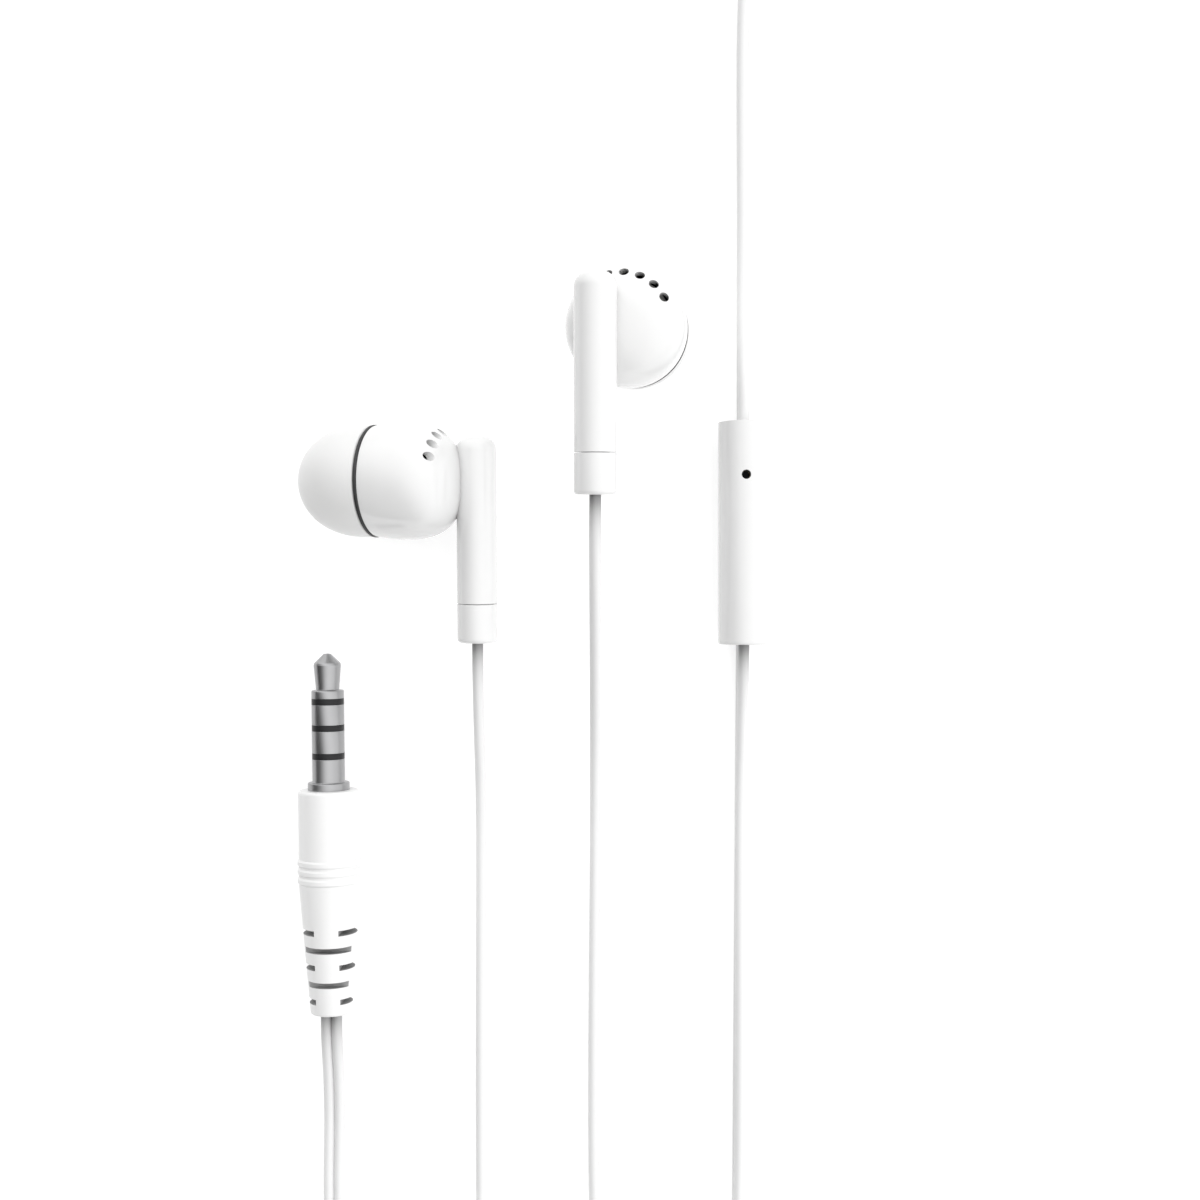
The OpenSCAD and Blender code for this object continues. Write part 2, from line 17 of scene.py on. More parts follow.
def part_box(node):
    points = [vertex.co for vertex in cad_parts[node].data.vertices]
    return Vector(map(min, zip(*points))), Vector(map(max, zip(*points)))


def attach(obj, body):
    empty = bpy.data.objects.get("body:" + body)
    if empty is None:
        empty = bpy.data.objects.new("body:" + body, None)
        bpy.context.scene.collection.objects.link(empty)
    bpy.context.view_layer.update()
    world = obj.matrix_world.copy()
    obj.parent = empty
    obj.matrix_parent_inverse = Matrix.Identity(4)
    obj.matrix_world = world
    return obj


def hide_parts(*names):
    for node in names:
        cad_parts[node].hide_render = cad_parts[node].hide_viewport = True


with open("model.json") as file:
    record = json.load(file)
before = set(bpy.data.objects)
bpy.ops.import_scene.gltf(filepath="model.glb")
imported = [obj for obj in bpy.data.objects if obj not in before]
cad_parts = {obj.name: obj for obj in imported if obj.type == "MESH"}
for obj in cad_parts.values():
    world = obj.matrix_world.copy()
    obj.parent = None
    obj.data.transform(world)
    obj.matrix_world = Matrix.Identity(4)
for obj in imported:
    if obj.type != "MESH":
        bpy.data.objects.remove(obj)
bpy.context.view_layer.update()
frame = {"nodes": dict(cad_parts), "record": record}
MM = 0.001
mounts = {m["name"]: m for m in frame["record"]["mounts"]}

# %% [markdown]
# ## Camera
# The earphones are seen from straight above. A long lens far away would flatten them, and a short
# one close by would show too much of their sides, so the camera stands 165 mm above the table,
# with a lens that takes in 133 mm of it.

# %% Camera
EYE = Vector((7.2, -14.6, 165))
SEEN_WIDTH = 133.3

camera_data = bpy.data.cameras.new("camera")
camera_data.lens = camera_data.sensor_width * EYE.z / SEEN_WIDTH
camera_data.clip_start = 0.01
camera = bpy.data.objects.new("camera", camera_data)
camera.location = EYE * MM
bpy.context.scene.collection.objects.link(camera)
bpy.context.scene.camera = camera
print("lens", round(camera_data.lens, 2), "mm")

# %% [markdown]
# ## Finishes
# Each finish is one short material. A plain colour would look like a drawing, so noise at the
# size of real moulding marks changes the roughness and lifts the surface a little. The noise
# reads Object coordinates, because every piece keeps its place in its mesh and the pattern then
# stays put when the piece moves.

# %% A helper for finishes
def finish(name, colour, roughness, vary=0.04, grain=900, bump=0.02, fleck=0.02, **sockets):
    """A material whose colour and roughness vary with noise; grain is in waves per metre."""
    material = bpy.data.materials.new(name)
    material.use_nodes = True
    nodes, links = material.node_tree.nodes, material.node_tree.links
    shader = nodes["Principled BSDF"]
    for socket, value in sockets.items():
        shader.inputs[socket.replace("_", " ")].default_value = value
    place = nodes.new("ShaderNodeTexCoord")
    noise = nodes.new("ShaderNodeTexNoise")
    noise.inputs["Scale"].default_value = grain
    noise.inputs["Detail"].default_value = 4
    links.new(place.outputs["Object"], noise.inputs["Vector"])
    ramp = nodes.new("ShaderNodeMapRange")
    ramp.inputs["To Min"].default_value = max(0.0, roughness - vary)
    ramp.inputs["To Max"].default_value = roughness + vary
    links.new(noise.outputs["Fac"], ramp.inputs["Value"])
    links.new(ramp.outputs["Result"], shader.inputs["Roughness"])
    tint = nodes.new("ShaderNodeMix")
    tint.data_type = "RGBA"
    tint.inputs["A"].default_value = (*colour, 1)
    tint.inputs["B"].default_value = (*[c * (1 - fleck) for c in colour], 1)
    links.new(noise.outputs["Fac"], tint.inputs["Factor"])
    links.new(tint.outputs["Result"], shader.inputs["Base Color"])
    relief = nodes.new("ShaderNodeBump")
    relief.inputs["Strength"].default_value = bump
    relief.inputs["Distance"].default_value = 0.02 * MM
    links.new(noise.outputs["Fac"], relief.inputs["Height"])
    links.new(relief.outputs["Normal"], shader.inputs["Normal"])
    return material

# %% The finishes
white_shell = finish("white_shell", (0.7, 0.7, 0.698), 0.16, vary=0.03, grain=700,
                     Coat_Weight=0.35, Coat_Roughness=0.06)
silicone = finish("silicone", (0.68, 0.68, 0.676), 0.34, vary=0.06, grain=1500, bump=0.05,
                  Sheen_Weight=0.15)
white_cord = finish("white_cord", (0.7, 0.7, 0.7), 0.36, vary=0.07, grain=1400, bump=0.08)
white_moulding = finish("white_moulding", (0.73, 0.73, 0.728), 0.3, vary=0.05, grain=2200,
                        bump=0.08)

black_rubber = finish("black_rubber", (0.018, 0.018, 0.019), 0.5, vary=0.08, grain=1800)
nickel = finish("nickel", (0.33, 0.33, 0.335), 0.32, vary=0.05, grain=500, Metallic=1.0)
steel = finish("steel", (0.5, 0.5, 0.51), 0.32, vary=0.08, grain=2500, Metallic=1.0)
magnet_plate = finish("magnet", (0.66, 0.66, 0.68), 0.15, vary=0.04, Metallic=1.0)
copper = finish("copper", (0.8, 0.4, 0.2), 0.28, vary=0.06, grain=4000, Metallic=1.0)
film = finish("film", (0.7, 0.74, 0.8), 0.2, vary=0.05)
black_plastic = finish("black_plastic", (0.012, 0.012, 0.013), 0.4, vary=0.06, grain=1500,
                       Specular_IOR_Level=0.25)
board = finish("board", (0.03, 0.2, 0.1), 0.4, vary=0.1, grain=3000, fleck=0.3)
brass_can = finish("brass_can", (0.75, 0.55, 0.25), 0.3, vary=0.06, Metallic=1.0)
felt = finish("felt", (0.72, 0.71, 0.69), 0.95, vary=0.04, grain=6000, bump=0.6, fleck=0.4)
# slot_shade: its darker grey is painted shade for the deep walls of the plug's slots
slot_shade = finish("slot_shade", (0.36, 0.36, 0.36), 0.7, vary=0.1, grain=1800, bump=0.2,
                    fleck=0.3)
dark_cloth = finish("dark_cloth", (0.012, 0.012, 0.013), 0.95, vary=0.03, grain=9000, bump=0.5)
tie = finish("tie", (0.78, 0.78, 0.78), 0.45, vary=0.06, grain=1200)
FINISHES = {"white_shell": white_shell, "silicone": silicone, "white_cord": white_cord,
            "white_moulding": white_moulding, "black_rubber": black_rubber, "nickel": nickel,
            "steel": steel, "magnet": magnet_plate, "copper": copper, "film": film,
            "black_plastic": black_plastic, "board": board, "brass_can": brass_can,
            "felt": felt, "tie": tie}
print("finishes:", len(FINISHES))

# %% [markdown]
# Where a cord leaves a piece it lies in that piece's shade. The light alone could make that shade,
# but light from every side makes hardly any, so the cord's finish darkens towards each exit. It
# reads how near the exit is from an attribute that the cord carries.

# %% The cord's shade near its exits
SHADE = (0.02, 0.02, 0.02, 1)
nodes, links = white_cord.node_tree.nodes, white_cord.node_tree.links
base_colour = nodes["Principled BSDF"].inputs["Base Color"]
near = nodes.new("ShaderNodeAttribute")
near.attribute_name = "near_exit"
greyer = nodes.new("ShaderNodeMix")
greyer.data_type = "RGBA"
greyer.inputs["B"].default_value = SHADE
links.new(near.outputs["Fac"], greyer.inputs["Factor"])
links.new(base_colour.links[0].from_socket, greyer.inputs["A"])
links.new(greyer.outputs["Result"], base_colour)
print("cord finish:", len(nodes), "nodes")

# %% [markdown]
# ## Growing shapes with Geometry Nodes
# A cord, a row of vents and the slots of the plug's moulding all follow a rule, so each is a
# small node tree. A tree could stay live on its object, but the exported model needs plain
# meshes, so the result is taken from the evaluated object and the modifier goes.

# %% Helpers for node trees
def new_tree(name, inputs):
    """A geometry node group with these named inputs, each (name, socket type, value)."""
    tree = bpy.data.node_groups.new(name, "GeometryNodeTree")
    tree.interface.new_socket("Geometry", in_out="INPUT", socket_type="NodeSocketGeometry")
    for socket, kind, value in inputs:
        made = tree.interface.new_socket(socket, in_out="INPUT", socket_type=kind)
        if value is not None:
            made.default_value = value
    tree.interface.new_socket("Geometry", in_out="OUTPUT", socket_type="NodeSocketGeometry")
    return tree, tree.nodes.new("NodeGroupInput")


def node(tree, kind, links=(), **values):
    """A node with its properties set; links are (its input, from node, that node's output)."""
    made = tree.nodes.new(kind)
    for key, value in values.items():
        setattr(made, key, value)
    for socket, source, output in links:
        if isinstance(source, bpy.types.Node):
            tree.links.new(source.outputs[output], made.inputs[socket])
        else:
            made.inputs[socket].default_value = source
    return made


def end_tree(tree, given, last, output):
    """Every tree ends in Realize Instances and Set Material."""
    real = node(tree, "GeometryNodeRealizeInstances", [("Geometry", last, output)])
    painted = node(tree, "GeometryNodeSetMaterial", [("Geometry", real, "Geometry"),
                                                     ("Material", given, "Material")])
    node(tree, "NodeGroupOutput", [("Geometry", painted, "Geometry")])
    return tree


def plain(piece):
    """Puts what the piece's modifiers make into its mesh, and removes them."""
    graph = bpy.context.evaluated_depsgraph_get()
    mesh = bpy.data.meshes.new_from_object(piece.evaluated_get(graph))
    piece.modifiers.clear()
    piece.data = mesh
    return piece


def grow(piece, tree, values):
    """Runs a tree on a piece with these inputs by name."""
    modifier = piece.modifiers.new(tree.name, "NODES")
    modifier.node_group = tree
    for socket in tree.interface.items_tree:
        if socket.in_out == "INPUT" and socket.name in values:
            modifier[socket.identifier] = values[socket.name]
    return plain(piece)


def as_object(name, mesh):
    piece = bpy.data.objects.new(name, mesh)
    bpy.context.scene.collection.objects.link(piece)
    return piece


def smooth(piece, angle=32):
    """Smooth shading, with the edges sharper than the angle kept."""
    piece.data.shade_smooth()
    piece.data.set_sharp_from_angle(angle=math.radians(angle))
    return piece

# %% [markdown]
# ## Cords
# A cord is a fixed length of something limp. It leaves the stem straight, sinks to the table in
# a few centimetres and runs on along it. What is not needed is wound up: the two-core lead in a
# wide coil, the left lead in a small one inside it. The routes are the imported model's own points;
# a curve through them, with the coils' turns worked out by a loop, is the centreline.

# %% The routes, in millimetres
LEFT_ROUTE = [
    (-5.9, -22.4, 5.6), (-5.9, -26.4, 4.6), (-5.9, -30.9, 3.1), (-5.9, -34.9, 1.7),
    (-5.9, -38.9, 0.9), (-5.9, -42.9, 0.6), (-5.9, -79.9, 0.6), (-5.8, -82.9, 1.2),
    (-5.6, -85.9, 2.8), (-5.4, -88.9, 4.2), (-5.1, -92.4, 4.5), (-4.7, -96.4, 4.5),
    (-4.3, -99.9, 4.2), (-4.1, -102.9, 3.4)]
LEFT_TAIL = [
    (-5.2, -108.4, 3.8), (-4.7, -110.9, 4.4), (-2.7, -113.4, 4.4), (0.8, -115.2, 4.4),
    (4.3, -115.9, 4.2), (6.8, -116, 3.2), (9.3, -115.9, 1.8), (11.8, -115.6, 0.9),
    (14.3, -115.4, 0.6), (16.7, -116.2, 0.6), (17.7, -118.3, 0.6), (16.9, -120.4, 0.7),
    (15.2, -121.3, 1), (13.3, -121.35, 1.2)]
RIGHT_ROUTE = [
    (6.7, -7.9, 16.8), (6.7, -11.9, 15.3), (6.7, -15.9, 12.9), (6.7, -19.9, 9.9),
    (6.7, -23.9, 6.9), (6.7, -27.9, 4.2), (6.7, -31.9, 2.2), (6.7, -35.9, 1.1),
    (6.7, -39.9, 0.6), (6.7, -82.9, 0.6), (7.2, -86.1, 0.6), (8.8, -88.9, 0.6),
    (11.4, -90.7, 0.6), (14.5, -91.3, 0.7), (17.6, -90.7, 1), (20.2, -88.9, 1.4),
    (21.8, -86.1, 1.7), (22.3, -82.9, 1.8), (22.6, -39.9, 1.8), (22.65, -33.9, 2),
    (22.7, -27.9, 3), (22.75, -23.4, 3.9), (22.8, -19.4, 4.05)]
MIC_ROUTE = [
    (22.8, 4.6, 4.05), (22.8, 8.6, 3.9), (22.8, 13.1, 3), (22.8, 19.1, 2),
    (22.85, 25.1, 1.8), (23.1, 53.1, 1.8), (23.8, 56.6, 1.8), (25.5, 59.7, 1.6),
    (26.3, 62.9, 1.2), (25, 65.9, 0.8), (22.2, 67, 0.6), (19.5, 65.6, 0.6),
    (18.7, 62.6, 0.6), (20, 59.7, 0.6), (22.2, 56.9, 0.6), (23.1, 53.1, 0.6),
    (22.95, 25.1, 0.6), (22.9, -7.4, 0.6), (22.7, -39.9, 0.6), (22.4, -82.9, 0.6),
    (22.3, -101.9, 0.6), (22.1, -107.9, 0.6), (21.6, -113.9, 0.6), (20.7, -118.4, 0.6),
    (19.3, -121.2, 0.6), (17, -122.6, 0.8), (13.3, -122.65, 1.2)]
TWIN_ROUTE = [
    (-22, -59.4, 3.45), (-22, -61.9, 3.3), (-22, -66.9, 2), (-22.1, -71.9, 0.9),
    (-22.2, -76.9, 0.6), (-22.4, -85.9, 0.6), (-23.6, -90.9, 0.6), (-25.8, -95.9, 0.6),
    (-27.8, -100.9, 0.6)]
TWIN_TAIL = [
    (-8.2, -122.6, 3), (-4.2, -122.7, 2.6), (-1.2, -122.5, 1.8), (1, -122.1, 1.3),
    (2.3, -122, 1.2)]
CORD_D = 1.2
COIL_CENTRE = Vector((-12.2, -105.9, CORD_D / 2))
CROSSING = 0.18  # the share of a turn in which the cord moves over to its next place

# %% Turns of a coil, and a curve through the points
def coil_turns(radius, width, cells, turns, start, turning, per_turn=24):
    """Points of a coil. Turn k lies in cells[k]: (column, layer) counted from the middle column
    and the table. The coil starts at an angle in degrees and turns +1 or -1 way round."""
    points = []
    for i in range(round(turns * per_turn) + 1):
        t = i / per_turn
        k = min(int(t), len(cells) - 1)
        s = min(1.0, (t - k) / CROSSING)
        s = s * s * (3 - 2 * s)
        column, layer = (a + (b - a) * s for a, b in zip(cells[max(k - 1, 0)], cells[k]))
        angle = math.radians(start) + turning * math.tau * t
        r = radius + column * width
        points.append(COIL_CENTRE + Vector((r * math.cos(angle), r * math.sin(angle),
                                            layer * CORD_D)))
    return points


def curve_through(points, step=0.7):
    """A centripetal Catmull-Rom curve through the points, which never overshoots where a long
    straight meets a short bend; a point every step millimetres."""
    p = [Vector(q) for q in points]
    p = [2 * p[0] - p[1], *p, 2 * p[-1] - p[-2]]
    line = []
    for a, b, c, d in zip(p, p[1:], p[2:], p[3:]):
        knots = [0.0]
        for u, v in ((a, b), (b, c), (c, d)):
            knots.append(knots[-1] + math.sqrt((v - u).length))
        k0, k1, k2, k3 = knots
        count = max(1, round((c - b).length / step))
        for i in range(count):
            t = k1 + (k2 - k1) * i / count
            ab = a.lerp(b, (t - k0) / (k1 - k0))
            bc = b.lerp(c, (t - k1) / (k2 - k1))
            cd = c.lerp(d, (t - k2) / (k3 - k2))
            line.append(ab.lerp(bc, (t - k0) / (k2 - k0)).lerp(
                bc.lerp(cd, (t - k1) / (k3 - k1)), (t - k1) / (k2 - k1)))
    return [*line, p[-2]]

# %% [markdown]
# A single cord has a round section and the two-core lead has two cores side by side with a
# groove between. One rule covers both: from the middle, the outline of two touching circles is
# at distance c|cos a| + sqrt(r r - c c sin a sin a), and with c at zero that is a circle.

# %% The tree that sweeps a cord
cord_tree, given = new_tree("cord_sweep", [
    ("Core Radius", "NodeSocketFloat", 0.6 * MM), ("Core Offset", "NodeSocketFloat", 0.0),
    ("Sides", "NodeSocketInt", 20), ("Material", "NodeSocketMaterial", None)])
section = node(cord_tree, "GeometryNodeCurvePrimitiveCircle",
               [("Resolution", given, "Sides"), ("Radius", 1.0, None)])
where = node(cord_tree, "GeometryNodeInputPosition")
parts = node(cord_tree, "ShaderNodeSeparateXYZ", [("Vector", where, "Position")])


def sum_of(operation, a, b=None):
    """A math node over two inputs, each (node, output) or a number."""
    made = node(cord_tree, "ShaderNodeMath", operation=operation)
    for i, value in enumerate(v for v in (a, b) if v is not None):
        if isinstance(value, tuple):
            cord_tree.links.new(value[0].outputs[value[1]], made.inputs[i])
        else:
            made.inputs[i].default_value = value
    return made, 0


shift = sum_of("MULTIPLY", sum_of("ABSOLUTE", (parts, "X")), (given, "Core Offset"))
rise = sum_of("MULTIPLY", (parts, "Y"), (given, "Core Offset"))
gap = sum_of("SUBTRACT", sum_of("MULTIPLY", (given, "Core Radius"), (given, "Core Radius")),
             sum_of("MULTIPLY", rise, rise))
reach = sum_of("ADD", shift, sum_of("SQRT", gap))
outline = node(cord_tree, "ShaderNodeVectorMath", [(0, where, "Position")], operation="SCALE")
cord_tree.links.new(reach[0].outputs[0], outline.inputs["Scale"])
shaped = node(cord_tree, "GeometryNodeSetPosition",
              [("Geometry", section, "Curve"), ("Position", outline, "Vector")])
line = node(cord_tree, "GeometryNodeMeshToCurve", [("Mesh", given, "Geometry")])
level = node(cord_tree, "GeometryNodeSetCurveNormal", [("Curve", line, "Curve")])
level.mode = "Z_UP"
swept = node(cord_tree, "GeometryNodeCurveToMesh",
             [("Curve", level, "Curve"), ("Profile Curve", shaped, "Geometry"),
              ("Fill Caps", True, None)])
end_tree(cord_tree, given, swept, "Mesh")
print("cord tree:", len(cord_tree.nodes), "nodes")

# %% Lay the cords
def lay_cord(name, points, sides=16, core_offset=0.0):
    """A cord along the points, in millimetres, and nowhere in the table. Returns the piece,
    its centreline and its length."""
    path = [Vector((q.x, q.y, max(q.z, CORD_D / 2))) * MM for q in curve_through(points)]
    mesh = bpy.data.meshes.new(name)
    mesh.from_pydata(path, [(i, i + 1) for i in range(len(path) - 1)], [])
    piece = grow(as_object(name, mesh), cord_tree, {
        "Core Radius": CORD_D / 2 * MM, "Core Offset": core_offset * MM, "Sides": sides,
        "Material": white_cord})
    smooth(piece, 60)
    length = sum((b - a).length for a, b in zip(path, path[1:]))
    print(name, "is", round(length, 3), "m long,", len(piece.data.polygons), "faces")
    return piece, path, length


def mark_exits(piece, *spots, reach=2 * MM):
    """Stores how near each point of a cord is to where it leaves a piece, from 1 down to 0."""
    near = piece.data.attributes.new("near_exit", "FLOAT", "POINT")
    for point, value in zip(piece.data.vertices, near.data):
        value.value = max(math.exp(-(point.co - spot).length / reach) for spot in spots)


LEFT_CELLS = [(1, 2), (1, 1), (1, 0), (0, 0), (-1, 0), (0, 1), (0, 2)]
TWIN_CELLS = [(1, 0), (0, 0), (-1, 0), (-1, 1), (0, 1), (1, 1), (0, 2), (1, 2)]
left_turns = coil_turns(7, CORD_D, LEFT_CELLS, 7, 0, -1)
twin_turns = coil_turns(14, 2 * CORD_D, TWIN_CELLS, 7.25, 180, 1)
LEFT_EXIT = Vector((-5.9, -19.13, 5.94))
RIGHT_EXIT = Vector((6.73, -4.13, 17.29))
left_cord, left_path, left_length = lay_cord(
    "left_lead", [LEFT_EXIT, *LEFT_ROUTE, *left_turns, *LEFT_TAIL])
right_cord, right_path, right_length = lay_cord("right_lead", [RIGHT_EXIT, *RIGHT_ROUTE])
mic_cord, mic_path, mic_length = lay_cord("microphone_lead", MIC_ROUTE)
twin_cord, twin_path, twin_length = lay_cord(
    "two_core_lead", [*TWIN_ROUTE, *twin_turns, *TWIN_TAIL], sides=32, core_offset=0.57)
POD_FOOT, RELIEF_END = Vector(RIGHT_ROUTE[-1]) * MM, Vector(TWIN_ROUTE[0]) * MM
mark_exits(left_cord, LEFT_EXIT * MM)
mark_exits(right_cord, RIGHT_EXIT * MM, POD_FOOT)
mark_exits(twin_cord, RELIEF_END)

# %% [markdown]
# ## Turned pieces
# Most of what shows is round: tips, domes, stems, contacts. On a real earphone these are moulded
# or turned, so here an outline is spun about its axis. The corners of each outline get a small
# round, because a sharp moulded edge does not exist and the round is what catches the light.

# %% Outlines and spinning
def rounded(corners, steps=5):
    """An outline in millimetres with rounded corners; each corner is (radius, height, round)."""
    outline = []
    for i, (x, y, size) in enumerate(corners):
        corner = Vector((x, y))
        if not size:
            outline.append(corner)
            continue
        a = Vector(corners[i - 1][:2]) - corner
        b = Vector(corners[(i + 1) % len(corners)][:2]) - corner
        cut = min(size / math.tan(a.angle(b) / 2), 0.48 * a.length, 0.48 * b.length)
        start, end = corner + a.normalized() * cut, corner + b.normalized() * cut
        outline += [start.lerp(corner, k / steps).lerp(corner.lerp(end, k / steps), k / steps)
                    for k in range(steps + 1)]
    return outline


def turned(name, outlines, segments=96):
    """A piece spun about Z from closed outlines; one that starts and ends on the axis is left
    open there, because its ends meet in a pole."""
    spun = bmesh.new()
    for outline in outlines:
        corners = [spun.verts.new((r * MM, 0, z * MM)) for r, z in outline]
        pairs = list(zip(corners, corners[1:]))
        if outline[0][0] > 0 or outline[-1][0] > 0:
            pairs.append((corners[-1], corners[0]))
        edges = [spun.edges.new(pair) for pair in pairs]
        bmesh.ops.spin(spun, geom=corners + edges, cent=(0, 0, 0), axis=(0, 0, 1),
                       angle=math.tau, steps=segments, use_merge=True)
    bmesh.ops.remove_doubles(spun, verts=spun.verts, dist=0.0005 * MM)
    bmesh.ops.recalc_face_normals(spun, faces=spun.faces)
    mesh = bpy.data.meshes.new(name)
    spun.to_mesh(mesh)
    spun.free()
    return as_object(name, mesh)


def carve(piece, cutter, operation="DIFFERENCE"):
    """Cuts the cutter out of the piece, or keeps only what is inside it."""
    cut = piece.modifiers.new("cut", "BOOLEAN")
    cut.operation, cut.solver, cut.object = operation, "EXACT", cutter
    plain(piece)
    bpy.data.objects.remove(cutter)
    return piece


def put(piece, place, material, angle=32):
    """Paints a finished piece and moves its mesh into place; the object stays at the origin."""
    piece.data.transform(place)
    piece.data.materials.clear()
    piece.data.materials.append(material)
    for face in piece.data.polygons:
        face.material_index = 0
    return smooth(piece, angle)


def hand_over(piece, body, slot, *nodes):
    """Tells the frame which body carries the piece and which plain solids it stands for."""
    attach(piece, body)
    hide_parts(*nodes)
    print(piece.name, "faces", len(piece.data.polygons), "stands for", ", ".join(nodes))
    return piece

# %% [markdown]
# ## Where the earphones lie
# The left earphone lies on its side with its nozzle towards the left and a little down; the right
# one stands on its ear tip with its back to the camera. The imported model's mounts give the front
# of each ear tip and the nozzle's direction, so the stem's axis is found from them.

# %% Places of the two earphones
TIP_FRONT, STEM_OFFSET = 19.1, 2
LEFT_TILT, RIGHT_LEAN, DIP, LEFT_TURN = 14.3, 10, 4, -1


def turn(angle, axis):
    return Matrix.Rotation(math.radians(angle), 4, axis)


def shift_by(x, y, z):
    return Matrix.Translation(Vector((x, y, z)) * MM)


def ear_place(mount, turning):
    front, axis = Vector(mount["pos_m"]), Vector(mount["axis"])
    return Matrix.Translation(front - axis * TIP_FRONT * MM) @ turning


PLACES = {
    "left": ear_place(mounts["left_ear"], turn(LEFT_TURN, "Z") @ turn(-90 - LEFT_TILT, "Y")
                      @ turn(-DIP, "Z")),
    "right": ear_place(mounts["right_ear"], turn(DIP, "X") @ turn(180 - RIGHT_LEAN, "Y"))}
SIDES = {"left": -1, "right": 1}
for side, place in PLACES.items():
    nozzle = place.to_3x3() @ Vector((0, 0, 1))
    print(side, "nozzle is", round(math.degrees(nozzle.angle(mounts[side + "_ear"]["axis"])), 3),
          "degrees off its mount")

# %% [markdown]
# ## Ear tips
# A silicone ear tip is a thin dome that folds back over itself: a skirt outside, a sleeve inside
# that grips the nozzle, and a rounded mouth between. A sphere would be too blunt, so the
# outside is a superellipse, a little fuller than an ellipse.

# %% Ear tips
TIP_R, TIP_BACK, TIP_SHOULDER, TIP_POWER = 5.95, 10.85, 12, 2.1
MOUTH_R, SLEEVE_R, NOZZLE_FRONT, SKIRT = 1.9, 2.86, 16, 0.55


def swell(radius, front, start, stop, steps):
    """Points of the tip's superellipse from one angle to another, in degrees."""
    angles = [math.radians(start + (stop - start) * i / steps) for i in range(steps + 1)]
    return [(radius * math.cos(a) ** (2 / TIP_POWER),
             TIP_SHOULDER + (front - TIP_SHOULDER) * math.sin(a) ** (2 / TIP_POWER))
            for a in angles]


outside = swell(TIP_R, TIP_FRONT, 0, 67, 40)
mouth = rounded([(*outside[-1], 0), (MOUTH_R + 0.15, TIP_FRONT - 0.38, 0.3),
                 (MOUTH_R, TIP_FRONT - 0.6, 0.2), (MOUTH_R, NOZZLE_FRONT + 0.3, 0)])[1:]
sleeve = [(SLEEVE_R, NOZZLE_FRONT + 0.3), (SLEEVE_R, TIP_SHOULDER),
          (SLEEVE_R + 0.6, TIP_SHOULDER)]
inside = swell(TIP_R - SKIRT, TIP_FRONT - 1.3, 48, 0, 24)
skirt = [(TIP_R - SKIRT + 0.05, TIP_BACK + 0.15), (TIP_R - 0.4, TIP_BACK),
         (TIP_R - 0.15, TIP_BACK), (TIP_R - 0.03, TIP_BACK + 0.12), (TIP_R, TIP_BACK + 0.35)]
for side, place in PLACES.items():
    tip = turned(side + "_silicone_tip", [[*outside, *mouth, *sleeve, *inside, *skirt]], 128)
    hand_over(put(tip, place, silicone), side + "_tip", "silicone", side + "_ear_tip")

# %% [markdown]
# ## Housings
# The housing is one moulded dome, nearly square-shouldered at the back, with a fan of five
# vents. The vents could be painted dark, but they are real openings that taper to a leaf because
# the pin that makes them meets the dome at a low angle. A node tree sets five pins in an arc and
# cuts them out, so the leaf shape comes by itself.

# %% Vent tree
VENTS = {"Count": 5, "First Angle": math.radians(29), "Angle Step": math.radians(18.9)}
HOUSING_R, HOUSING_MID, HOUSING_BACK, WALL, POWER = 6.2, 7.4, 1.2, 0.7, 2.75
VENT_CIRCLE, VENT_R, VENT_SLOPE, PIN_LEN = 5.1, 0.5, 12, 5


def dome_height(r):
    """Height of the dome's outside at a radius."""
    return HOUSING_MID - (HOUSING_MID - HOUSING_BACK) * (
        1 - (r / HOUSING_R) ** POWER) ** (1 / POWER)


vent_tree, given = new_tree("vent_holes", [
    ("Count", "NodeSocketInt", 5), ("First Angle", "NodeSocketFloat", 0.0),
    ("Angle Step", "NodeSocketFloat", 0.0), ("Circle", "NodeSocketFloat", VENT_CIRCLE * MM),
    ("Depth", "NodeSocketFloat", dome_height(VENT_CIRCLE) * MM),
    ("Hole Radius", "NodeSocketFloat", VENT_R * MM),
    ("Slope", "NodeSocketFloat", math.radians(VENT_SLOPE)),
    ("Material", "NodeSocketMaterial", None)])
points = node(vent_tree, "GeometryNodePoints", [("Count", given, "Count")])
index = node(vent_tree, "GeometryNodeInputIndex")
angle = node(vent_tree, "ShaderNodeMath",
             [(0, index, "Index"), (1, given, "Angle Step"), (2, given, "First Angle")],
             operation="MULTIPLY_ADD")
lean = node(vent_tree, "ShaderNodeMath", [(0, math.pi, None), (1, given, "Slope")],
            operation="SUBTRACT")
turning = node(vent_tree, "ShaderNodeCombineXYZ", [("Y", lean, "Value"), ("Z", angle, "Value")])
aside = node(vent_tree, "ShaderNodeCombineXYZ", [("X", given, "Circle"), ("Z", given, "Depth")])
around = node(vent_tree, "ShaderNodeVectorRotate",
              [("Vector", aside, "Vector"), ("Angle", angle, "Value")], rotation_type="Z_AXIS")
spread = node(vent_tree, "GeometryNodeSetPosition",
              [("Geometry", points, "Points"), ("Position", around, "Vector")])
pin = node(vent_tree, "GeometryNodeMeshCylinder",
           [("Vertices", 40, None), ("Radius", given, "Hole Radius"),
            ("Depth", PIN_LEN * MM, None)])
pins = node(vent_tree, "GeometryNodeInstanceOnPoints",
            [("Points", spread, "Geometry"), ("Instance", pin, "Mesh"),
             ("Rotation", turning, "Vector")])
pierced = node(vent_tree, "GeometryNodeMeshBoolean", [(0, given, "Geometry")],
               operation="DIFFERENCE", solver="EXACT")
vent_tree.links.new(pins.outputs["Instances"], pierced.inputs[1])
end_tree(vent_tree, given, pierced, "Mesh")

# %% Housings
SHELL_FRONT, SEAL_FRONT, LIP_DROP = 10.4, 10.75, 0.28


